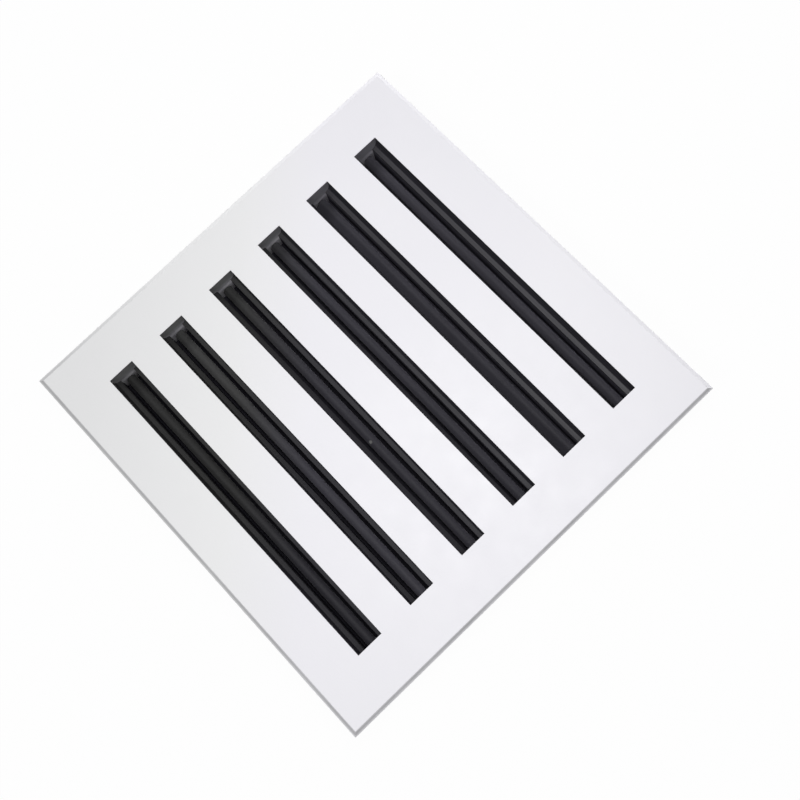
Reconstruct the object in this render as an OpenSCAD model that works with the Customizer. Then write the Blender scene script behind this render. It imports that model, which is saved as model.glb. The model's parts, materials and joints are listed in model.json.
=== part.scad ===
// Linear slot diffuser for a lay-in ceiling: a folded white face panel with a row of long slots,
// and behind each slot a black throat of two extruded rails, two end caps and a pivoting blade.
// Face up as it lies on a bench: the face is the plane z = 0, and the slots run along Y.

/* [Face panel] */
// Side of the square panel
panel_w = 595; // [585:1:610]
// Thickness of the folded sheet
sheet_t = 1.2; // [0.8:0.1:2]
// Width of the bevel round the face
bevel_w = 5; // [3:0.1:8]
// Depth of that bevel
bevel_d = 2; // [1:0.1:6]
// Depth of the folded edges, measured from the face
return_h = 14; // [13:0.5:22]

/* [Slots] */
// Number of slots
slot_count = 6; // [2:1:6]
// Spacing of the slots' centre lines
slot_pitch = 85; // [76:0.5:86]
// Width of a slot in the face
slot_w = 37.5; // [34:0.5:40]
// Length of a slot in the face
slot_l = 464; // [420:1:500]

/* [Side rails] */
// Wall of the extruded rails
rail_t = 1.6; // [1.2:0.1:2]
// How far the rail's upper wall stands back behind the slot's edge
shadow_gap = 0.8; // [0.4:0.1:2]
// Width of the flange that lies on the back of the panel
flange_w = 11; // [10:0.1:12]
// Depth at which the throat's walls start to lean in
lean_d = 16.5; // [16.2:0.1:19]
// Depth at which they turn in to a sloping ledge
waist_d = 23; // [21:0.1:24]
// Width of the throat at that depth
waist_w = 34; // [32:0.1:36]
// Depth of the ledge's inner edge
throat_d = 26; // [25:0.1:28]
// Width of the throat below the ledge
throat_w = 23.2; // [23:0.1:25]
// Depth of the rails' back edge
rail_d = 56; // [55:0.5:60]
// Width of the air inlet between the two rails' lips
inlet_w = 9; // [6:0.5:12]
// How far the foot stands out along the back edge
foot_w = 11; // [10:0.1:13]
// Wall round the screw ports
port_t = 1.3; // [1:0.1:1.6]
// Clearance between the upper screw ports and the studs
port_gap = 1; // [0.5:0.1:2]

/* [Deflector blades] */
// Depth of the top of the blade's nose
nose_d = 31.5; // [30:0.5:34]
// Radius of the blade's round nose
nose_r = 6.6; // [5.5:0.1:7]
// Radius of the blade's tail
tail_r = 1; // [0.8:0.1:1.2]
// Distance from the nose's centre to the tail's centre
blade_chord = 9.5; // [9:0.1:9.8]
// Bore along the nose
blade_bore = 8; // [7:0.1:8.4]
// Angle that each blade is set at, slot by slot
blade_set = [0, -5, 8, 25, 80, 36]; // [-85:1:85]

/* [Pivots] */
// Diameter of the trunnion that turns in the end cap
trunnion_d = 5; // [4:0.1:6]
// Length of the plug that sits in the blade's bore
plug_l = 14; // [8:0.5:24]
// Radial clearance of the trunnion in its bore
running_gap = 0.05; // [0.02:0.01:0.1]
// Radial clearance of the plug in the blade
plug_gap = 0.02; // [0.01:0.01:0.05]
// Thickness of the friction washer
washer_t = 1; // [0.6:0.1:1.5]
// Outside diameter of the friction washer
washer_d = 10; // [8.6:0.1:11]
// Free play between the blade's end and the washer
end_play = 0.4; // [0.3:0.1:1]

/* [End caps] */
// Thickness of the end cap's plate
cap_t = 3; // [2:0.1:5]
// Width of the end cap
cap_w = 56; // [54:0.5:60]
// Thickness of the pad that fills the throat's end, inside the plate
pad_t = 6; // [5:0.1:10]
// How far that pad stands back behind the slot's end, above its sloping shoulder
pad_back = 1; // [0.5:0.1:4.5]
// Height of the sloping shoulder
shoulder_h = 5; // [3:0.1:6]
// How far the shoulder lies above the friction washer
shoulder_gap = 0.5; // [0.3:0.1:1]
// Clearance of that pad between the rails
pad_gap = 0.25; // [0.15:0.05:0.5]
// Diameter of the bearing boss on the outside
boss_d = 12; // [9:0.5:14]
// Height of the bearing boss
boss_h = 5; // [2:0.1:8]

/* [Cross bars] */
// Width of a cross bar
bar_w = 26; // [24:0.5:36]
// Sheet thickness of a cross bar
bar_t = 1.5; // [1:0.1:2.5]
// Inside radius of a cross bar's folds
bar_fold_r = 1.5; // [0.5:0.1:2]
// Height of a cross bar's folded sides
bar_h = 10; // [7:0.5:16]
// Spacing of the two cross bars
bar_spacing = 300; // [220:1:360]
// Spacing of the hanger holes along a cross bar
hanger_spacing = 516; // [510:1:530]
// Diameter of the hanger holes
hanger_d = 9; // [6.6:0.1:11]
// Distance from a hanger hole to the end of its bar
hanger_edge = 12; // [9:0.5:16]

/* [Fasteners] */
// Diameter of the studs welded to the back of the panel
stud_d = 4; // [3:0.5:5]
// Length of the studs
stud_l = 7.5; // [6.5:0.5:9]
// Number of studs along a rail
stud_count = 3; // [2:1:5]
// Distance from the last stud to the end of the slot
stud_inset = 36; // [20:1:80]
// Width across the flats of the nuts on the studs
nut_w = 7; // [5.5:0.1:8]
// Height of the nuts
nut_h = 3.2; // [2.4:0.1:4]
// Diameter of the screws that hold the end caps
screw_d = 3.5; // [2.9:0.1:4]
// Length of those screws under the head
screw_l = 13; // [8:0.5:20]
// Diameter of the screw heads
screw_head_d = 6.6; // [5:0.1:7]
// Height of the screw heads
screw_head_h = 2.4; // [1.5:0.1:3]
// Diameter of the rivets that hold the cross bars
rivet_d = 4; // [3:0.1:4.8]
// Diameter of the rivets' heads
rivet_head_d = 8; // [6:0.1:8.6]
// Height of the rivets' heads
rivet_head_h = 1.4; // [1:0.1:2]
// Diameter of the rivets' set ends
rivet_set_d = 5.6; // [5:0.1:6]
// Height of the rivets' set ends
rivet_set_h = 2.6; // [1.5:0.1:3]
// Radial clearance of the studs, screws and rivets in their holes
hole_gap = 0.1; // [0.05:0.05:0.4]

/* [Hidden] */
$fn = 64;
hex_sides = 6;
overlap = 1;
// The blade's flat flanks start this far inside its round nose and tail, and cut them at a clear angle
flank_sink = 0.02;

bevel_l = sqrt(bevel_w * bevel_w + bevel_d * bevel_d);
upper_u = slot_w / 2 + shadow_gap;
waist_u = waist_w / 2;
throat_u = throat_w / 2;
// Angles from the vertical of the throat's leaning wall and of its ledge
lean_a = atan2(upper_u - waist_u, waist_d - lean_d);
ledge_a = atan2(waist_u - throat_u, throat_d - waist_d);
foot_u = throat_u + rail_t + foot_w;
rail_l = slot_l + 2 * pad_t;

port_bore_r = screw_d / 2 + hole_gap;
port_r = port_bore_r + port_t;
upper_port_d = sheet_t + stud_l + port_gap + port_r;
lower_port_d = rail_d - rail_t - rivet_set_h - port_r;

pivot_d = nose_d + nose_r;
shoulder_d = pivot_d - washer_d / 2 - shoulder_gap;
trunnion_bore_r = trunnion_d / 2 + running_gap;
pad_y = slot_l / 2;
cap_y = pad_y + pad_t;
blade_l = 2 * (pad_y - washer_t - end_play);

stud_u = upper_u + rail_t + (flange_w - rail_t) / 2;
stud_span = slot_l / 2 - stud_inset;
nut_d = sheet_t + rail_t;
rivet_u = foot_u - foot_w / 2;
bar_l = hanger_spacing + 2 * hanger_edge;
bar_web = bar_w - 2 * (bar_fold_r + bar_t);

slots = [1 : slot_count];
ends = [0, 1];
sides = [-1, 1];
function named(stem) = [for (i = slots) str(stem, i)];

// Centre line of a slot across the panel
function slot_x(i) = (i - (slot_count + 1) / 2) * slot_pitch;

// Centres of a rail's two screw ports, half sunk into the wall's thickness
function port_u(wall_u) = wall_u + rail_t / 2 + port_r;
ports = [
    [port_u(upper_u), upper_port_d],
    [port_u(throat_u), lower_port_d],
];

// Places of the studs along a rail
stud_ys = [for (k = [0 : stud_count - 1]) stud_span * (2 * k / (stud_count - 1) - 1)];

// The point behind a bend in a rail's wall that keeps the wall's thickness
function wall_back(u, d, above_a, below_a) = [
    u + rail_t * cos((above_a + below_a) / 2) / cos((below_a - above_a) / 2),
    -d - rail_t * sin((above_a + below_a) / 2) / cos((below_a - above_a) / 2),
];

module in_slot(i) {
    translate([slot_x(i), 0, 0])
        children();
}

module in_every_slot() {
    for (i = slots)
        in_slot(i)
            children();
}

// A section drawn across and down, drawn out along the slots
module along_slot(length) {
    rotate([90, 0, 0])
        linear_extrude(length, center = true)
            children();
}

// A section that is the same on both sides, given its right-hand half from one end to the other
module both_sides(half) {
    polygon(concat(half, [for (k = [len(half) - 1 : -1 : 0]) [-half[k][0], half[k][1]]]));
}

// A cylinder along Y that starts at y
module rod_y(r, h, y = 0) {
    translate([0, y, 0])
        rotate([-90, 0, 0])
            cylinder(r = r, h = h);
}

// Section of a sheet's edge folded down through a right angle, from the end of its flat
module folded_edge(t, r, h) {
    intersection() {
        translate([0, -r - t])
            difference() {
                circle(r + t);
                circle(r);
            }
        translate([0, -r - t])
            square(r + t);
    }
    translate([r, -h])
        square([t, h - r - t]);
}

// A solid pan as wide as the panel, with a bevel and straight sides, all set in by inset
module pan(inset, depth) {
    half = [
        [panel_w / 2 - inset, -depth],
        [panel_w / 2 - inset, -bevel_d - inset * (bevel_l - bevel_d) / bevel_w],
        [panel_w / 2 - bevel_w - inset * (bevel_l - bevel_w) / bevel_d, -inset],
    ];
    intersection() {
        along_slot(panel_w)
            both_sides(half);
        rotate(90)
            along_slot(panel_w)
                both_sides(half);
    }
}

module face_panel() {
    color("white")
        difference() {
            pan(0, return_h);
            pan(sheet_t, return_h + overlap);
            in_every_slot()
                translate([-slot_w / 2, -slot_l / 2, -sheet_t - overlap])
                    cube([slot_w, slot_l, sheet_t + 2 * overlap]);
        }
}

// Section of the right-hand rail: flange, upper wall, sloping ledge, lower wall, inlet lip and foot
module rail_section() {
    difference() {
        union() {
            polygon([
                [upper_u, -sheet_t],
                [upper_u, -lean_d],
                [waist_u, -waist_d],
                [throat_u, -throat_d],
                [throat_u, -rail_d + rail_t],
                [inlet_w / 2, -rail_d + rail_t],
                [inlet_w / 2, -rail_d],
                [foot_u, -rail_d],
                [foot_u, -rail_d + rail_t],
                [throat_u + rail_t, -rail_d + rail_t],
                wall_back(throat_u, throat_d, ledge_a, 0),
                wall_back(waist_u, waist_d, lean_a, ledge_a),
                wall_back(upper_u, lean_d, 0, lean_a),
                [upper_u + rail_t, -sheet_t - rail_t],
                [upper_u + flange_w, -sheet_t - rail_t],
                [upper_u + flange_w, -sheet_t],
            ]);
            for (p = ports)
                translate([p[0], -p[1]])
                    circle(port_r);
        }
        for (p = ports)
            translate([p[0], -p[1]])
                circle(port_bore_r);
    }
}

module side_rail() {
    color("#1d1d1e")
        difference() {
            along_slot(rail_l)
                rail_section();
            for (y = stud_ys)
                translate([stud_u, y, -sheet_t - rail_t - overlap])
                    cylinder(d = stud_d + 2 * hole_gap, h = rail_t + 2 * overlap);
            for (end = sides)
                translate([rivet_u, end * bar_spacing / 2, -rail_d - overlap])
                    cylinder(d = rivet_d + 2 * hole_gap, h = rail_t + 2 * overlap);
        }
}

module left_rail(i) {
    in_slot(i)
        mirror([1, 0, 0])
            side_rail();
}

module right_rail(i) {
    in_slot(i)
        side_rail();
}

// Outline of the pad that fills the throat between the two rails
module pad_section() {
    both_sides([
        [upper_u - pad_gap, -sheet_t - pad_gap],
        [upper_u - pad_gap, -lean_d],
        [waist_u - pad_gap, -waist_d],
        [throat_u - pad_gap, -throat_d],
        [throat_u - pad_gap, -rail_d + rail_t + pad_gap],
    ]);
}

// The pad at the throat's +Y end, cut back above a sloping shoulder
module end_pad() {
    difference() {
        translate([0, pad_y + pad_t / 2, 0])
            along_slot(pad_t)
                pad_section();
        translate([-cap_w / 2, 0, 0])
            rotate([90, 0, 90])
                linear_extrude(cap_w)
                    polygon([
                        [pad_y - overlap, 0],
                        [pad_y + pad_back, 0],
                        [pad_y + pad_back, -shoulder_d + shoulder_h],
                        [pad_y, -shoulder_d],
                        [pad_y - overlap, -shoulder_d],
                    ]);
    }
}

// End cap at the slot's +Y end: a plate across the rails' ends, a pad between them and a bearing boss
module end_cap() {
    color("#3c3c3e")
        difference() {
            union() {
                translate([-cap_w / 2, cap_y, -rail_d])
                    cube([cap_w, cap_t, rail_d - sheet_t]);
                end_pad();
                translate([0, 0, -pivot_d])
                    rod_y(boss_d / 2, boss_h, cap_y + cap_t);
            }
            translate([0, 0, -pivot_d])
                rod_y(trunnion_bore_r, pad_t + cap_t + boss_h + 2 * overlap, pad_y - overlap);
            for (side = sides, p = ports)
                translate([side * p[0], 0, -p[1]])
                    rod_y(port_bore_r, cap_t + 2 * overlap, cap_y - overlap);
        }
}

module rear_cap(i) {
    in_slot(i)
        end_cap();
}

module front_cap(i) {
    in_slot(i)
        mirror([0, 1, 0])
            end_cap();
}

// A blade about its pivot: a round nose that tapers to a thin round tail
module blade() {
    lean = asin((nose_r - tail_r) / blade_chord);
    nose_flank = nose_r - flank_sink;
    tail_flank = tail_r - flank_sink;
    difference() {
        union() {
            rod_y(nose_r, blade_l, -blade_l / 2);
            translate([0, 0, -blade_chord])
                rod_y(tail_r, blade_l, -blade_l / 2);
            along_slot(blade_l)
                polygon([
                    [-nose_flank * cos(lean), -nose_flank * sin(lean)],
                    [nose_flank * cos(lean), -nose_flank * sin(lean)],
                    [tail_flank * cos(lean), -blade_chord - tail_flank * sin(lean)],
                    [-tail_flank * cos(lean), -blade_chord - tail_flank * sin(lean)],
                ]);
        }
        rod_y(blade_bore / 2, blade_l + 2 * overlap, -blade_l / 2 - overlap);
    }
}

module deflector_blade(i) {
    color("#232324")
        in_slot(i)
            translate([0, 0, -pivot_d])
                rotate([0, blade_set[i - 1], 0])
                    blade();
}

// One turned pin at each end of a blade: a plug in the bore and a trunnion in the cap
module pivot_pins(i) {
    color("silver")
        in_slot(i)
            translate([0, 0, -pivot_d])
                for (end = ends)
                    mirror([0, end, 0]) {
                        rod_y(blade_bore / 2 - plug_gap, plug_l, blade_l / 2 - plug_l);
                        rod_y(trunnion_d / 2, cap_y + cap_t + boss_h - blade_l / 2, blade_l / 2);
                    }
}

module friction_washers() {
    color("#1b1b1c")
        in_every_slot()
            for (end = ends)
                mirror([0, end, 0])
                    translate([0, 0, -pivot_d])
                        difference() {
                            rod_y(washer_d / 2, washer_t, pad_y - washer_t);
                            rod_y(trunnion_bore_r, washer_t + 2 * overlap, pad_y - washer_t - overlap);
                        }
}

// The places of the studs on both rails of every slot
module at_studs() {
    in_every_slot()
        for (side = sides, y = stud_ys)
            translate([side * stud_u, y, 0])
                children();
}

module rail_studs() {
    color("silver")
        at_studs()
            translate([0, 0, -sheet_t - stud_l])
                cylinder(d = stud_d, h = stud_l);
}

module rail_nuts() {
    color("silver")
        at_studs()
            translate([0, 0, -nut_d - nut_h])
                difference() {
                    cylinder(d = nut_w / cos(180 / hex_sides), h = nut_h, $fn = hex_sides);
                    translate([0, 0, -overlap])
                        cylinder(d = stud_d + 2 * hole_gap, h = nut_h + 2 * overlap);
                }
}

module cap_screws() {
    color("dimgray")
        in_every_slot()
            for (end = ends, side = sides, p = ports)
                mirror([0, end, 0])
                    translate([side * p[0], 0, -p[1]]) {
                        rod_y(screw_d / 2, screw_l, cap_y + cap_t - screw_l);
                        rod_y(screw_head_d / 2, screw_head_h, cap_y + cap_t);
                    }
}

// A folded channel across the backs of all the rails, with a hanger hole near each end
module cross_bar() {
    color("#b9bdc1")
        difference() {
            translate([-bar_l / 2, 0, -rail_d])
                rotate([90, 0, 90])
                    linear_extrude(bar_l) {
                        translate([-bar_web / 2, -bar_t])
                            square([bar_web, bar_t]);
                        for (side = ends)
                            mirror([side, 0])
                                translate([bar_web / 2, 0])
                                    folded_edge(bar_t, bar_fold_r, bar_h);
                    }
            for (side = sides)
                translate([side * hanger_spacing / 2, 0, -rail_d - bar_t - overlap])
                    cylinder(d = hanger_d, h = bar_t + 2 * overlap);
            for (i = slots, side = sides)
                translate([slot_x(i) + side * rivet_u, 0, -rail_d - bar_t - overlap])
                    cylinder(d = rivet_d + 2 * hole_gap, h = bar_t + 2 * overlap);
        }
}

module front_cross_bar() {
    translate([0, -bar_spacing / 2, 0])
        cross_bar();
}

module rear_cross_bar() {
    translate([0, bar_spacing / 2, 0])
        cross_bar();
}

module bar_rivets() {
    grip = rail_t + bar_t;
    color("silver")
        in_every_slot()
            for (side = sides, end = sides)
                translate([side * rivet_u, end * bar_spacing / 2, -rail_d - bar_t]) {
                    cylinder(d = rivet_d, h = grip);
                    translate([0, 0, -rivet_head_h])
                        cylinder(d1 = rivet_d, d2 = rivet_head_d, h = rivet_head_h);
                    translate([0, 0, grip])
                        cylinder(d = rivet_set_d, h = rivet_set_h);
                }
}

face_panel();
for (i = slots) {
    left_rail(i);
    right_rail(i);
    front_cap(i);
    rear_cap(i);
    deflector_blade(i);
    pivot_pins(i);
}
friction_washers();
rail_studs();
rail_nuts();
cap_screws();
front_cross_bar();
rear_cross_bar();
bar_rivets();
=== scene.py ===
import json
import math

import bpy
from mathutils import Matrix, Quaternion, Vector


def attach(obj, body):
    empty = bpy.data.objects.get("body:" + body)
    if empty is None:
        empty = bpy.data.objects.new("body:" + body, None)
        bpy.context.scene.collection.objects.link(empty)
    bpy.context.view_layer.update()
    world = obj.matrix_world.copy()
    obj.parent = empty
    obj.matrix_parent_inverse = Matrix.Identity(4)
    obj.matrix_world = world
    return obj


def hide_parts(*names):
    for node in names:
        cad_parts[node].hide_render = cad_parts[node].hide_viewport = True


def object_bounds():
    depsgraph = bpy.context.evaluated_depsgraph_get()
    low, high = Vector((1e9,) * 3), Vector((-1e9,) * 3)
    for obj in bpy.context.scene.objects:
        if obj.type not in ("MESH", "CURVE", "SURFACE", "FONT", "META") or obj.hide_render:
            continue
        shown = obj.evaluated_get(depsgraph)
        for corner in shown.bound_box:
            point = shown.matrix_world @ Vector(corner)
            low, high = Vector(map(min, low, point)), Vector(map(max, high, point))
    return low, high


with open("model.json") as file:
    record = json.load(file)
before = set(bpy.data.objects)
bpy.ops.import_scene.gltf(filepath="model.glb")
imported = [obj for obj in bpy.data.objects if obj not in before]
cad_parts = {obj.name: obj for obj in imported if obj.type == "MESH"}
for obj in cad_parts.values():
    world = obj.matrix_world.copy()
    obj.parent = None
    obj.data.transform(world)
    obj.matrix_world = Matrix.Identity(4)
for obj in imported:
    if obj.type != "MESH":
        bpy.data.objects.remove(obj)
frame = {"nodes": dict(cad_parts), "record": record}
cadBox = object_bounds()
print("frame loaded:", len(frame["nodes"]), "nodes")

slotRow = {"count": 6, "pitch": 0.085}
slotXs = [(k - (slotRow["count"] - 1) / 2) * slotRow["pitch"] for k in range(slotRow["count"])]


# small helpers for the material nodes

shading = {
    "noiseSpan": (0.3, 0.7),      # most of a noise lies between these
    "edgeSpan": (0.8, 0.995),     # cosine of the softened normal to the true one, from edge to flat
    "edgeSamples": 4,
    "farWay": (-1, 1, 0),         # towards the panel's far left corner
    "paintedTintSpan": (0.10, 0.24),      # along that way, where the painted neutral tint of the light sets in
    "mixFirst": 6, "mixSecond": 7, "mixResult": 2,    # colour sockets of a Mix node
}


def startFinish(name, sockets):
    finish = bpy.data.materials.new(name)
    finish.use_nodes = True
    shader = finish.node_tree.nodes["Principled BSDF"]
    for socket, value in sockets.items():
        shader.inputs[socket].default_value = value
    return finish, finish.node_tree, shader


def giveSurface(tree, shader, tone, roughness, normal):
    tree.links.new(tone, shader.inputs["Base Color"])
    tree.links.new(roughness, shader.inputs["Roughness"])
    tree.links.new(normal, shader.inputs["Normal"])


def objectPlace(tree, stretch=(1, 1, 1)):
    place = tree.nodes.new("ShaderNodeTexCoord")
    mapping = tree.nodes.new("ShaderNodeMapping")
    mapping.inputs["Scale"].default_value = stretch
    tree.links.new(place.outputs["Object"], mapping.inputs["Vector"])
    return mapping.outputs["Vector"]


def axes(tree, vector):
    split = tree.nodes.new("ShaderNodeSeparateXYZ")
    tree.links.new(vector, split.inputs["Vector"])
    return split.outputs


def noise(tree, place, scale, detail, rough=0.5):
    grain = tree.nodes.new("ShaderNodeTexNoise")
    grain.inputs["Scale"].default_value = scale
    grain.inputs["Detail"].default_value = detail
    grain.inputs["Roughness"].default_value = rough
    tree.links.new(place, grain.inputs["Vector"])
    return grain.outputs["Fac"]


def spread(tree, value, low, high, fromLow=None, fromHigh=None):
    # stretches a value to run from low to high, a noise unless told otherwise
    if fromLow is None:
        fromLow, fromHigh = shading["noiseSpan"]
    rangeNode = tree.nodes.new("ShaderNodeMapRange")
    rangeNode.inputs["From Min"].default_value = fromLow
    rangeNode.inputs["From Max"].default_value = fromHigh
    rangeNode.inputs["To Min"].default_value = low
    rangeNode.inputs["To Max"].default_value = high
    tree.links.new(value, rangeNode.inputs["Value"])
    return rangeNode.outputs["Result"]


def maths(tree, operation, first, second=0):
    node = tree.nodes.new("ShaderNodeMath")
    node.operation = operation
    for socket, value in zip(node.inputs, (first, second)):
        if isinstance(value, (int, float)):
            socket.default_value = value
        else:
            tree.links.new(value, socket)
    return node.outputs["Value"]


def vectorMaths(tree, operation, first, second=None):
    node = tree.nodes.new("ShaderNodeVectorMath")
    node.operation = operation
    tree.links.new(first, node.inputs[0])
    if isinstance(second, tuple):
        node.inputs[1].default_value = second
    elif second is not None:
        tree.links.new(second, node.inputs[1])
    return node.outputs


def mixColour(tree, amount, first, second):
    mix = tree.nodes.new("ShaderNodeMix")
    mix.data_type = "RGBA"
    tree.links.new(amount, mix.inputs["Factor"])
    for index, colour in ((shading["mixFirst"], first), (shading["mixSecond"], second)):
        if isinstance(colour, tuple):
            mix.inputs[index].default_value = (*colour, 1)
        else:
            tree.links.new(colour, mix.inputs[index])
    return mix.outputs[shading["mixResult"]]


def bump(tree, height, distance, under):
    node = tree.nodes.new("ShaderNodeBump")
    node.inputs["Strength"].default_value = 1
    node.inputs["Distance"].default_value = distance
    tree.links.new(height, node.inputs["Height"])
    tree.links.new(under, node.inputs["Normal"])
    return node.outputs["Normal"]


def softEdge(tree, radius):
    node = tree.nodes.new("ShaderNodeBevel")
    node.samples = shading["edgeSamples"]
    node.inputs["Radius"].default_value = radius
    return node.outputs["Normal"]


def edgeWear(tree, soft):
    # 1 on an edge, 0 on a flat: how far the softened normal leaves the true one
    true = tree.nodes.new("ShaderNodeNewGeometry").outputs["Normal"]
    dot = vectorMaths(tree, "DOT_PRODUCT", soft, true)["Value"]
    return spread(tree, dot, 1, 0, *shading["edgeSpan"])


def farthest(tree, place):
    # distance from the middle of the panel, measured square to its sides
    away = axes(tree, vectorMaths(tree, "ABSOLUTE", place)["Vector"])
    return maths(tree, "MAXIMUM", away["X"], away["Y"])


def paintedLightCorner(tree, place, span=shading["paintedTintSpan"]):
    # 0 over most of the panel, rising to 1 towards its far left corner; it places the painted light
    # tint and painted shade there
    along = vectorMaths(tree, "DOT_PRODUCT", place, shading["farWay"])["Value"]
    return spread(tree, along, 0, 1, *span)


def slotTones(tree, place, tones):
    # one tone for each slot, by its place across the panel
    ramp = tree.nodes.new("ShaderNodeValToRGB")
    ramp.color_ramp.interpolation = "CONSTANT"
    stops = ramp.color_ramp.elements
    stops[1].position = 1 / len(tones)
    for k in range(2, len(tones)):
        stops.new(k / len(tones))
    for stop, tone in zip(stops, tones):
        stop.color = (tone, tone, tone, 1)
    reach = slotRow["count"] * slotRow["pitch"] / 2
    across = spread(tree, axes(tree, place)["X"], 0, 1, -reach, reach)
    tree.links.new(across, ramp.inputs["Fac"])
    return ramp.outputs["Color"]


# white powder coat on the folded face panel

powderCoat = {
    "colour": (0.838, 0.829, 0.868),
    "colourPale": (0.862, 0.853, 0.886),
    # painted light: the light's neutral tint towards the far left corner
    "colourPaintedTint": (0.832, 0.832, 0.836),
    # painted shade: darker towards the far left corner
    "colourPaintedShade": (0.785, 0.785, 0.787),
    "paintedShadeSpan": (0.22, 0.50),
    "cloud": (5.0, 4),       # noise cells per metre and detail, as for each pattern below
    "edgeColour": (0.78, 0.78, 0.79),
    "edgeRadius": 0.0005,
    "scuff": (60.0, 5),
    "scuffSpread": (0, 0.6, 0.45, 0.7),
    "gloss": 0.40,
    "roughness": (0.38, 0.50),
    "shine": (35.0, 4),
    "peel": (420.0, 2),
    "peelDepth": 0.00006,
}

# painted shade: a grey line along the two near bevels, and along the next one past the far left
# corner

paintedShadeLine = {
    "colour": (0.34, 0.34, 0.345),
    "sides": (-1, -1, 0),
    "facing": (0.15, 0.30),      # from the flat face to a bevel
    "upward": (0.3, 0.6),        # from a returned edge to a bevel
    "turn": (0.65, 0, -0.2975, -0.08),    # past the corner it fades out between these X
    "middle": 0.2946,            # from the panel's centre
    "reach": 0.0032,
    "strength": (1.0, 0.3),      # along its middle, and at its reach
    "patch": (25.0, 4),
    "patchSpread": (0.8, 1.0),
}


def paintedShadeLineShare(tree, place):
    v = paintedShadeLine
    facing = tree.nodes.new("ShaderNodeNewGeometry").outputs["True Normal"]
    side = vectorMaths(tree, "DOT_PRODUCT", facing, v["sides"])["Value"]
    lean = axes(tree, facing)
    near = maths(tree, "MULTIPLY", spread(tree, side, 0, 1, *v["facing"]),
                 spread(tree, lean["Z"], 0, 1, *v["upward"]))
    turned = maths(tree, "MULTIPLY", spread(tree, lean["Y"], 0, 1, *v["facing"]),
                   spread(tree, axes(tree, place)["X"], *v["turn"]))
    away = maths(tree, "ABSOLUTE", maths(tree, "SUBTRACT", farthest(tree, place), v["middle"]))
    line = spread(tree, away, *v["strength"], 0, v["reach"])
    patch = spread(tree, noise(tree, place, *v["patch"]), *v["patchSpread"])
    return maths(tree, "MULTIPLY", maths(tree, "MAXIMUM", near, turned),
                 maths(tree, "MULTIPLY", line, patch))


def makePowderCoat():
    v = powderCoat
    finish, tree, shader = startFinish("white_powder_coat", {"Specular IOR Level": v["gloss"]})
    place = objectPlace(tree)
    cloud = spread(tree, noise(tree, place, *v["cloud"]), 0, 1)
    tone = mixColour(tree, cloud, v["colour"], v["colourPale"])
    # painted light: a neutral tint of the light towards the far left corner
    tone = mixColour(tree, paintedLightCorner(tree, place), tone, v["colourPaintedTint"])
    # painted shade: the face darker towards its far left corner
    tone = mixColour(tree, paintedLightCorner(tree, place, v["paintedShadeSpan"]), tone, v["colourPaintedShade"])
    soft = softEdge(tree, v["edgeRadius"])
    scuff = spread(tree, noise(tree, place, *v["scuff"]), *v["scuffSpread"])
    worn = maths(tree, "MULTIPLY", edgeWear(tree, soft), scuff)
    tone = mixColour(tree, worn, tone, v["edgeColour"])
    # painted shade: a grey line on the two near bevels
    tone = mixColour(tree, paintedShadeLineShare(tree, place), tone, paintedShadeLine["colour"])
    shine = spread(tree, noise(tree, place, *v["shine"]), *v["roughness"])
    peel = bump(tree, noise(tree, place, *v["peel"]), v["peelDepth"], soft)
    giveSurface(tree, shader, tone, shine, peel)
    return finish


# black aluminium extrusion, with die lines along the slots and a little dust

blackExtrusion = {
    "colour": (0.018, 0.0172, 0.0222),
    "colourPale": (0.0225, 0.0215, 0.0275),
    # painted light: the light's neutral tint towards the far left corner
    "colourPaintedTint": (0.020, 0.020, 0.020),
    "patch": (18.0, 5),
    "edgeColour": (0.050, 0.050, 0.052),
    "edgeRadius": 0.0004,
    "wear": (90.0, 4),
    "wearSpread": (0.1, 0.9),
    "dustColour": (0.10, 0.10, 0.10),
    "dust": (0, 0.04, 0.5, 1.0),     # most on what faces up
    "speckle": (260.0, 6, 0.7),
    "speckleSpread": (0.2, 1.0, 0.35, 0.7),
    "paintedThroatHeights": (-0.036, -0.0275),       # painted light and shade below these heights, with no gloss
    "deepDull": True,                # with no gloss
    "paintedThroatColour": (0.028, 0.0267, 0.034),
    "paintedThroatPale": (0.059, 0.0563, 0.0715),
    "paintedThroatTones": (0.0, 0.0, 0.1, 0.1, 0.8, 1.0),    # how pale the painted throat colour is in each slot
    "gloss": 0.385,
    "dull": 0.0,                     # 1 evens out the shading
    "haze": 0.0,
    "roughness": (0.44, 0.56),
    "dieLines": (900.0, 5.0, 900.0),
    "dieDetail": (1.0, 3),
    "dieDepth": 0.00002,
}

# the blades are a duller black

blackBlade = dict(
    blackExtrusion,
    colour=(0.067, 0.0645, 0.0800),
    colourPale=(0.077, 0.074, 0.0915),
    # painted light: the light's neutral tint towards the far left corner
    colourPaintedTint=(0.065, 0.065, 0.065),
    tones=(0.50, 0.98, 0.75, 0.82, 0.78, 0.90),    # each blade is set paler or darker, slot by slot
    along=(0.88, 1.14, -0.20, 0.17),      # paler towards the far end, but darker again right at it, painted shade from the end cap
    end=(1.0, 0.62, 0.197, 0.213),        # but darker again right at it
    fleck=(-0.0458, -0.0500, -0.0323),    # one pale chip on the third blade
    fleckSize=(0.0010, 0.0030),
    fleckColour=(0.27, 0.27, 0.265),
    # painted light and shade on the blade's lower part
    paintedThroatHeights=(-0.046, -0.040),
    deepDull=False,
    gloss=0.20,
    dull=1.0,
    haze=0.05,
    roughness=(0.56, 0.68),
)


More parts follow.
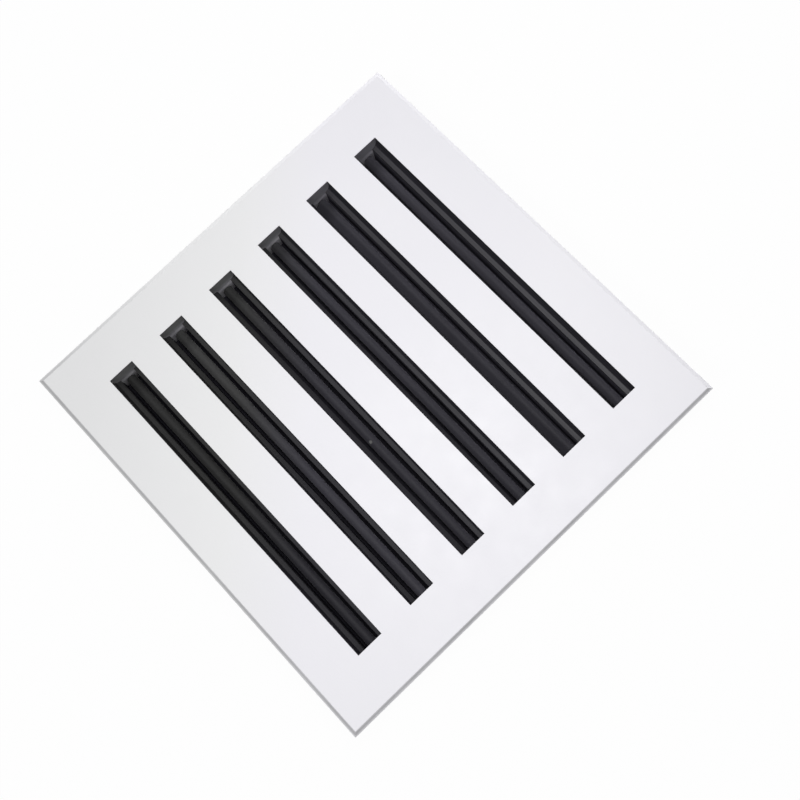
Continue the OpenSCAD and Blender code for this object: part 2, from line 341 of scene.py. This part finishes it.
def bladeTone(tree, place, tone, v):
    y = axes(tree, place)["Y"]
    # paler towards the far end, and painted shade right at it from the end cap
    along = maths(tree, "MULTIPLY", spread(tree, y, *v["along"]), spread(tree, y, *v["end"]))
    share = maths(tree, "MULTIPLY", along, slotTones(tree, place, v["tones"]))
    tone = vectorMaths(tree, "MULTIPLY", tone, share)["Vector"]
    away = vectorMaths(tree, "DISTANCE", place, v["fleck"])["Value"]
    return mixColour(tree, spread(tree, away, 1, 0, *v["fleckSize"]), tone, v["fleckColour"])


def makeExtruded(name, v):
    finish, tree, shader = startFinish(name, {
        "Specular IOR Level": v["gloss"],
        "Diffuse Roughness": v["dull"],
        "Sheen Weight": v["haze"],
    })
    place = objectPlace(tree)
    patch = spread(tree, noise(tree, place, *v["patch"]), 0, 1)
    tone = mixColour(tree, patch, v["colour"], v["colourPale"])
    # painted light: a neutral tint of the light towards the far left corner
    tone = mixColour(tree, paintedLightCorner(tree, place), tone, v["colourPaintedTint"])
    soft = softEdge(tree, v["edgeRadius"])
    worn = maths(tree, "MULTIPLY", edgeWear(tree, soft),
                 spread(tree, noise(tree, place, *v["wear"]), *v["wearSpread"]))
    tone = mixColour(tree, worn, tone, v["edgeColour"])
    facing = tree.nodes.new("ShaderNodeNewGeometry").outputs["Normal"]
    settled = spread(tree, axes(tree, facing)["Z"], *v["dust"])
    speckle = spread(tree, noise(tree, place, *v["speckle"]), *v["speckleSpread"])
    tone = mixColour(tree, maths(tree, "MULTIPLY", settled, speckle), tone, v["dustColour"])
    # painted light and shade low in the throat, set slot by slot
    depth = spread(tree, axes(tree, place)["Z"], 1, 0, *v["paintedThroatHeights"])
    paintedThroatShare = slotTones(tree, place, v["paintedThroatTones"])
    paintedThroatTone = mixColour(tree, paintedThroatShare, v["paintedThroatColour"], v["paintedThroatPale"])
    tone = mixColour(tree, depth, tone, paintedThroatTone)
    if v["deepDull"]:
        gloss = spread(tree, depth, v["gloss"], 0, 0, 1)
        tree.links.new(gloss, shader.inputs["Specular IOR Level"])
    if "tones" in v:
        tone = bladeTone(tree, place, tone, v)
    lines = noise(tree, objectPlace(tree, v["dieLines"]), *v["dieDetail"])
    giveSurface(tree, shader, tone, spread(tree, lines, *v["roughness"]),
                bump(tree, lines, v["dieDepth"], soft))
    return finish


# dark grey moulded end caps, with a fine spark-eroded grain

blackMoulding = {
    "colour": (0.295, 0.288, 0.325),
    "colourPale": (0.345, 0.337, 0.375),
    # painted light: the light's neutral tint towards the far left corner
    "colourPaintedTint": (0.31, 0.31, 0.31),
    "patch": (30.0, 4),
    "paintedPadColour": (0.50, 0.492, 0.525),
    "paintedPadHeight": (-0.024, -0.017),   # painted light on the bearing pads, below these heights, and more in some slots than others
    "paintedPadTones": (0.5, 1.0, 0.95, 0.95, 0.15, 0.1),    # and some more than others
    "edgeColour": (0.36, 0.36, 0.36),
    "edgeRadius": 0.0004,
    "edgeShare": 0.5,
    "roughness": (0.48, 0.62),
    "grain": (1400.0, 2),
    "grainDepth": 0.00003,
}


def makeMoulding():
    v = blackMoulding
    finish, tree, shader = startFinish("black_moulding", {})
    place = objectPlace(tree)
    patch = spread(tree, noise(tree, place, *v["patch"]), 0, 1)
    tone = mixColour(tree, patch, v["colour"], v["colourPale"])
    # painted light: a neutral tint of the light towards the far left corner
    tone = mixColour(tree, paintedLightCorner(tree, place), tone, v["colourPaintedTint"])
    # painted light on the bearing pads of the end caps, slot by slot
    low = spread(tree, axes(tree, place)["Z"], 1, 0, *v["paintedPadHeight"])
    paintedPadLight = maths(tree, "MULTIPLY", low, slotTones(tree, place, v["paintedPadTones"]))
    tone = mixColour(tree, paintedPadLight, tone, v["paintedPadColour"])
    soft = softEdge(tree, v["edgeRadius"])
    worn = maths(tree, "MULTIPLY", edgeWear(tree, soft), v["edgeShare"])
    tone = mixColour(tree, worn, tone, v["edgeColour"])
    grain = noise(tree, place, *v["grain"])
    giveSurface(tree, shader, tone, spread(tree, grain, *v["roughness"]),
                bump(tree, grain, v["grainDepth"], soft))
    return finish


# turned steel, zinc plate, black zinc and nylon, each with fine lines or grain and stains

turnedSteel = {
    "colour": (0.50, 0.50, 0.51),
    "colourPale": (0.62, 0.62, 0.63),
    "stain": (120.0, 4),
    "roughness": (0.22, 0.36),
    "lines": (40.0, 2600.0, 40.0),
    "lineDetail": (1.0, 3),
    "depth": 0.00001,
    "edgeRadius": 0.0002,
    "metallic": 1.0,
}
zincPlate = dict(
    turnedSteel,
    colour=(0.52, 0.53, 0.55),
    colourPale=(0.68, 0.68, 0.67),
    roughness=(0.26, 0.44),
    lines=(500.0, 500.0, 500.0),
)
blackZinc = dict(
    turnedSteel,
    colour=(0.030, 0.030, 0.032),
    colourPale=(0.055, 0.055, 0.058),
    roughness=(0.30, 0.46),
    lines=(600.0, 600.0, 600.0),
    metallic=0.6,
)
nylon = dict(
    turnedSteel,
    colour=(0.016, 0.016, 0.017),
    colourPale=(0.026, 0.026, 0.027),
    stain=(200.0, 3),
    roughness=(0.42, 0.55),
    lines=(900.0, 900.0, 900.0),
    metallic=0.0,
)


def makeFitting(name, v):
    finish, tree, shader = startFinish(name, {"Metallic": v["metallic"]})
    stain = spread(tree, noise(tree, objectPlace(tree), *v["stain"]), 0, 1)
    tone = mixColour(tree, stain, v["colour"], v["colourPale"])
    lines = noise(tree, objectPlace(tree, v["lines"]), *v["lineDetail"])
    giveSurface(tree, shader, tone, spread(tree, lines, *v["roughness"]),
                bump(tree, lines, v["depth"], softEdge(tree, v["edgeRadius"])))
    return finish


# galvanised sheet of the cross bars, with its spangle

galvanised = {
    "colour": (0.42, 0.43, 0.45),
    "colourPale": (0.60, 0.61, 0.62),
    "roughness": (0.34, 0.52),
    "spangle": 130.0,        # crystals per metre
    "pits": (700.0, 4),
    "depth": 0.00001,
    "edgeRadius": 0.0003,
}


def makeGalvanised():
    v = galvanised
    finish, tree, shader = startFinish("galvanised_sheet", {"Metallic": 1.0})
    place = objectPlace(tree)
    crystal = tree.nodes.new("ShaderNodeTexVoronoi")
    crystal.inputs["Scale"].default_value = v["spangle"]
    tree.links.new(place, crystal.inputs["Vector"])
    split = tree.nodes.new("ShaderNodeSeparateColor")
    tree.links.new(crystal.outputs["Color"], split.inputs["Color"])
    tone = mixColour(tree, split.outputs["Red"], v["colour"], v["colourPale"])
    shine = spread(tree, split.outputs["Green"], *v["roughness"], 0, 1)
    pits = noise(tree, place, *v["pits"])
    giveSurface(tree, shader, tone, shine,
                bump(tree, pits, v["depth"], softEdge(tree, v["edgeRadius"])))
    return finish


finishes = {
    "white_powder_coat": makePowderCoat(),
    "black_extrusion": makeExtruded("black_extrusion", blackExtrusion),
    "black_blade": makeExtruded("black_blade", blackBlade),
    "black_moulding": makeMoulding(),
    "turned_steel": makeFitting("turned_steel", turnedSteel),
    "zinc_fastener": makeFitting("zinc_fastener", zincPlate),
    "black_fastener": makeFitting("black_fastener", blackZinc),
    "nylon": makeFitting("nylon", nylon),
    "galvanised_sheet": makeGalvanised(),
}
print("finishes made:", len(finishes))


# every CAD node takes the finish of its slot in the record

for row in frame["record"]["subparts"]:
    for holder in frame["nodes"][row["node"]].material_slots:
        holder.material = finishes[row["material_slot"]]
print("finishes given to the CAD nodes")


# helpers for the small fittings, which are modelled along Z at the origin and then copied out

flatEnd = 0.9         # a face with more of its normal than this along Z is an end
sideFace = 0.5        # and one with less than this is a side
sameHeight = 1e-6


def selectOnly(piece):
    bpy.ops.object.mode_set(mode="OBJECT")
    bpy.ops.object.select_all(action="DESELECT")
    piece.select_set(True)
    bpy.context.view_layer.objects.active = piece


def startCylinder(name, radius, low, high, sides):
    bpy.ops.object.select_all(action="DESELECT")
    bpy.ops.mesh.primitive_cylinder_add(vertices=sides, radius=radius, depth=high - low,
                                        location=(0, 0, (low + high) / 2))
    piece = bpy.context.active_object
    piece.name = name
    bpy.ops.object.transform_apply(location=True, rotation=True, scale=True)
    return piece


def pickFaces(piece, wanted):
    bpy.ops.object.mode_set(mode="OBJECT")
    bpy.context.tool_settings.mesh_select_mode = (False, False, True)
    for part in (*piece.data.vertices, *piece.data.edges):
        part.select = False
    for face in piece.data.polygons:
        face.select = wanted(face)
    bpy.ops.object.mode_set(mode="EDIT")


def pickEnd(piece, up):
    # the flat end furthest up or down; edit mode is left first, so that the faces are read anew
    bpy.ops.object.mode_set(mode="OBJECT")
    ends = [face.center.z for face in piece.data.polygons if face.normal.z * up > flatEnd]
    limit = max(ends) if up > 0 else min(ends)
    pickFaces(piece, lambda face: (face.normal.z * up > flatEnd
                                   and abs(face.center.z - limit) < sameHeight))


def pushOut(distance):
    bpy.ops.mesh.extrude_region_move(TRANSFORM_OT_translate={"value": (0, 0, distance)})


def squeeze(share):
    bpy.ops.transform.resize(value=(share, share, 1))


def cutWith(piece, cutter, operation):
    selectOnly(piece)
    cut = piece.modifiers.new("cut", "BOOLEAN")
    cut.operation = operation
    cut.object = cutter
    bpy.ops.object.modifier_apply(modifier=cut.name)
    bpy.data.objects.remove(cutter)


def shadeSharp(piece, degrees):
    selectOnly(piece)
    bpy.ops.object.shade_smooth_by_angle(angle=math.radians(degrees))


def copyOut(pattern, name, places, node, slotName):
    # one copy with its own mesh at each place, all joined into the piece that stands for the node
    copies = []
    for place in places:
        copy = pattern.copy()
        copy.data = pattern.data.copy()
        copy.data.transform(place)
        bpy.context.collection.objects.link(copy)
        copies.append(copy)
    bpy.data.objects.remove(pattern)
    bpy.ops.object.select_all(action="DESELECT")
    for copy in copies:
        copy.select_set(True)
    bpy.context.view_layer.objects.active = copies[0]
    bpy.ops.object.join()
    piece = bpy.context.active_object
    piece.name = name
    piece.data.materials.clear()
    piece.data.materials.append(finishes[slotName])
    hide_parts(node)
    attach(piece, "frame")
    print(name + ":", len(places), "copies,", len(piece.data.polygons), "faces")


# pan-head screws with a cross recess, which hold the end caps

capScrew = {
    "sides": 24, "smoothDeg": 40,
    "shank": 0.00175, "length": 0.013, "tip": 0.0015, "tipShare": 0.35,
    "head": 0.0033, "headHeight": 0.0024, "dome": 0.0010, "domeSteps": 4,
    "recessWidth": 0.0009, "recessReach": 0.0013, "recessDepth": 0.0013, "recessTaper": 0.45,
    "seatY": 0.241,
    "ports": ((0.0235, -0.01285), (0.01555, -0.04865)),   # across from the slot, and height
    "turnStep": 37.0,        # radians from each screw to the next, so no two recesses line up
}


def makeCapScrews():
    v = capScrew
    screw = startCylinder("cap_screw", v["head"], 0, v["headHeight"], v["sides"])
    pickEnd(screw, 1)
    bpy.ops.mesh.bevel(offset=v["dome"], segments=v["domeSteps"], affect="EDGES")
    pickEnd(screw, -1)
    bpy.ops.mesh.inset(thickness=v["head"] - v["shank"])
    pushOut(v["tip"] - v["length"])
    pushOut(-v["tip"])
    squeeze(v["tipShare"])
    bpy.ops.object.mode_set(mode="OBJECT")
    bpy.ops.object.select_all(action="DESELECT")
    bpy.ops.mesh.primitive_cube_add(size=v["recessWidth"], location=(0, 0, v["headHeight"]))
    recess = bpy.context.active_object
    bpy.ops.object.transform_apply(location=True, rotation=True, scale=True)
    pickFaces(recess, lambda face: abs(face.normal.z) < sideFace)
    bpy.ops.mesh.extrude_faces_move(TRANSFORM_OT_shrink_fatten={"value": v["recessReach"]})
    pickFaces(recess, lambda face: face.normal.z < -sideFace)
    pushOut(v["recessWidth"] / 2 - v["recessDepth"])
    squeeze(v["recessTaper"])
    cutWith(screw, recess, "DIFFERENCE")
    shadeSharp(screw, v["smoothDeg"])
    places = []
    for end in (1, -1):
        lay = Matrix.Rotation(math.radians(-90 * end), 4, "X")
        for x in slotXs:
            for side in (1, -1):
                for across, z in v["ports"]:
                    place = Matrix.Translation((x + side * across, end * v["seatY"], z))
                    turn = Matrix.Rotation(v["turnStep"] * len(places), 4, "Z")
                    places.append(place @ lay @ turn)
    copyOut(screw, "cross_recess_screws", places, "cap_screws", "black_fastener")


makeCapScrews()


# threaded studs behind the flanges and the chamfered nuts on them

railStud = {
    "sides": 20, "smoothDeg": 30,
    "radius": 0.0020, "root": 0.00166, "pitch": 0.0007, "low": -0.0087, "high": -0.0012,
    "across": 0.02585, "along": (-0.196, 0.0, 0.196),
    "turn": (36.0, 6.3, 0.9),    # radians for each metre across, each metre along and each side
}
railNut = {
    "sides": 6, "barrelSides": 48, "boreSides": 24, "smoothDeg": 25,
    "flats": 0.0070, "bore": 0.0021, "boreOver": 0.001,
    "low": -0.0060, "high": -0.0028, "chamfer": 0.0005,
}


def studPlaces():
    v = railStud
    places = []
    for x in slotXs:
        for side in (1, -1):
            for y in v["along"]:
                angle = v["turn"][0] * x + v["turn"][1] * y + v["turn"][2] * side
                place = Matrix.Translation((x + side * v["across"], y, 0))
                places.append(place @ Matrix.Rotation(angle, 4, "Z"))
    return places


def makeRailStuds():
    v = railStud
    turns = int((v["high"] - v["low"]) / v["pitch"])
    top = v["low"] + turns * v["pitch"]
    stud = startCylinder("rail_stud", v["radius"], top, v["high"], v["sides"])
    pickEnd(stud, -1)
    for k in range(turns):
        pushOut(-v["pitch"] / 2)
        squeeze(v["root"] / v["radius"])
        pushOut(-v["pitch"] / 2)
        if k < turns - 1:        # the last turn stays at the root
            squeeze(v["radius"] / v["root"])
    shadeSharp(stud, v["smoothDeg"])
    copyOut(stud, "threaded_studs", studPlaces(), "rail_studs", "zinc_fastener")


def makeRailNuts():
    v = railNut
    corner = v["flats"] / 2 / math.cos(math.pi / v["sides"])
    nut = startCylinder("rail_nut", corner, v["low"], v["high"], v["sides"])
    barrel = startCylinder("nut_barrel", corner, v["low"], v["high"], v["barrelSides"])
    pickFaces(barrel, lambda face: abs(face.normal.z) > flatEnd)
    bpy.ops.mesh.bevel(offset=v["chamfer"], segments=1, affect="EDGES")
    cutWith(nut, barrel, "INTERSECT")
    bore = startCylinder("nut_bore", v["bore"], v["low"] - v["boreOver"],
                         v["high"] + v["boreOver"], v["boreSides"])
    cutWith(nut, bore, "DIFFERENCE")
    shadeSharp(nut, v["smoothDeg"])
    copyOut(nut, "chamfered_nuts", studPlaces(), "rail_nuts", "zinc_fastener")


makeRailStuds()
makeRailNuts()


# blind rivets through the cross bars: a low dome with the mandrel's hole, and a rolled set end

barRivet = {
    "sides": 24, "smoothDeg": 40,
    "shank": 0.0020, "low": -0.0575, "high": -0.0544,
    "head": 0.0040, "headHeight": 0.0014, "domeShare": 0.9, "domeSteps": 4,
    "hole": 0.0011, "holeDepth": 0.0009,
    "setEnd": 0.0028, "setHeight": 0.0026, "rollShare": 0.75, "tipShare": 0.6,
    "across": 0.0187, "along": (-0.150, 0.150),
}


def makeBarRivets():
    v = barRivet
    dome = v["headHeight"] * v["domeShare"]
    rivet = startCylinder("bar_rivet", v["head"], v["low"] - v["headHeight"], v["low"], v["sides"])
    pickEnd(rivet, -1)
    bpy.ops.mesh.bevel(offset=dome, segments=v["domeSteps"], affect="EDGES")
    pickEnd(rivet, -1)
    bpy.ops.mesh.inset(thickness=v["head"] - dome - v["hole"])
    pushOut(v["holeDepth"])
    pickEnd(rivet, 1)
    bpy.ops.mesh.inset(thickness=v["head"] - v["shank"])
    pushOut(v["high"] - v["low"])
    pushOut(0)
    squeeze(v["setEnd"] / v["shank"])
    pushOut(v["setHeight"] * v["rollShare"])
    pushOut(v["setHeight"] * (1 - v["rollShare"]))
    squeeze(v["tipShare"])
    shadeSharp(rivet, v["smoothDeg"])
    places = [Matrix.Translation((x + side * v["across"], y, 0))
              for x in slotXs for side in (1, -1) for y in v["along"]]
    copyOut(rivet, "blind_rivets", places, "bar_rivets", "zinc_fastener")


makeBarRivets()


# floor: white to the eye, and still a plain pale floor to the light

floorLook = {
    "size": 12.0,
    "colour": (0.80, 0.80, 0.81),
    "roughness": 0.9,
    "whiteShare": 0.97,      # how much of the seen floor is plain white
    "shade": (0.22, 0.29),   # under the panel, inside these distances, it isn't white
}


def seenDirectly(tree):
    # by the camera, in a reflection or through glass
    path = tree.nodes.new("ShaderNodeLightPath").outputs
    either = maths(tree, "MAXIMUM", path["Is Camera Ray"], path["Is Glossy Ray"])
    return maths(tree, "MAXIMUM", either, path["Is Transmission Ray"])


def blendShaders(tree, amount, first, second, output):
    blend = tree.nodes.new("ShaderNodeMixShader")
    tree.links.new(amount, blend.inputs["Fac"])
    tree.links.new(first, blend.inputs[1])
    tree.links.new(second, blend.inputs[2])
    tree.links.new(blend.outputs["Shader"], tree.nodes[output].inputs["Surface"])


def makeFloor():
    v = floorLook
    bpy.ops.object.select_all(action="DESELECT")
    bpy.ops.mesh.primitive_plane_add(size=v["size"], location=(0, 0, cadBox[0][2]))
    floor = bpy.context.active_object
    floor.name = "studio_floor"
    finish, tree, shader = startFinish("studio_floor", {
        "Base Color": (*v["colour"], 1),
        "Roughness": v["roughness"],
        "Specular IOR Level": 0,
    })
    white = tree.nodes.new("ShaderNodeEmission")
    bare = spread(tree, farthest(tree, objectPlace(tree)), 0, v["whiteShare"], *v["shade"])
    seen = maths(tree, "MULTIPLY", seenDirectly(tree), bare)
    blendShaders(tree, seen, shader.outputs["BSDF"], white.outputs["Emission"], "Material Output")
    floor.data.materials.append(finish)


makeFloor()


# soft studio light: one box overhead, one from the left, one low behind for the far edges

studioLight = {
    "boxes": {
        "overhead": {"place": (0.13, -0.09, 1.4), "size": 0.6, "power": 9.2},
        "key": {"place": (-2.6, -0.3, 4.0), "size": 1.3, "power": 88.0},
        "back": {"place": (1.6, 1.6, 0.45), "size": 1.0, "power": 25.0},
    },
    "fill": (0.95, 0.96, 1.0),
    "fillStrength": 0.14,
    "backdrop": (1.0, 1.0, 1.0),
}


def addSoftbox(name, v):
    lamp = bpy.data.lights.new(name, "AREA")
    lamp.shape = "SQUARE"
    lamp.size = v["size"]
    lamp.energy = v["power"]
    box = bpy.data.objects.new(name, lamp)
    box.location = v["place"]
    box.rotation_euler = (-Vector(v["place"])).to_track_quat("-Z", "Y").to_euler()
    bpy.context.collection.objects.link(box)


def makeWorld():
    v = studioLight
    world = bpy.data.worlds.new("studio")
    bpy.context.scene.world = world
    world.use_nodes = True
    tree = world.node_tree
    fill = tree.nodes["Background"]
    fill.inputs["Color"].default_value = (*v["fill"], 1)
    fill.inputs["Strength"].default_value = v["fillStrength"]
    white = tree.nodes.new("ShaderNodeBackground")
    white.inputs["Color"].default_value = (*v["backdrop"], 1)
    blendShaders(tree, seenDirectly(tree), fill.outputs["Background"], white.outputs["Background"],
                 "World Output")


for name, box in studioLight["boxes"].items():
    addSoftbox(name + "_softbox", box)
makeWorld()
print("floor and lights set")


# camera, looking down on the face from above its near edge

cameraSetup = {
    "place": (-0.0818, -0.2872, 1.2576),
    "aim": (0.0156, -0.0431, 0.0),
    "rollDeg": 22.13,
    "lens": 46.87,           # mm, on the sensor's width
    "sensor": 36.0,
    "clipStart": 0.01,
}


def makeCamera():
    v = cameraSetup
    lens = bpy.data.cameras.new("photo_camera")
    lens.lens = v["lens"]
    lens.sensor_width = v["sensor"]
    lens.clip_start = v["clipStart"]
    camera = bpy.data.objects.new("photo_camera", lens)
    bpy.context.collection.objects.link(camera)
    sight = Vector(v["aim"]) - Vector(v["place"])
    turn = Quaternion(sight, math.radians(v["rollDeg"])) @ sight.to_track_quat("-Z", "Y")
    camera.rotation_mode = "QUATERNION"
    camera.rotation_quaternion = turn
    camera.location = v["place"]
    bpy.context.scene.camera = camera


makeCamera()
bpy.context.scene.view_settings.view_transform = "Standard"
print("camera set")
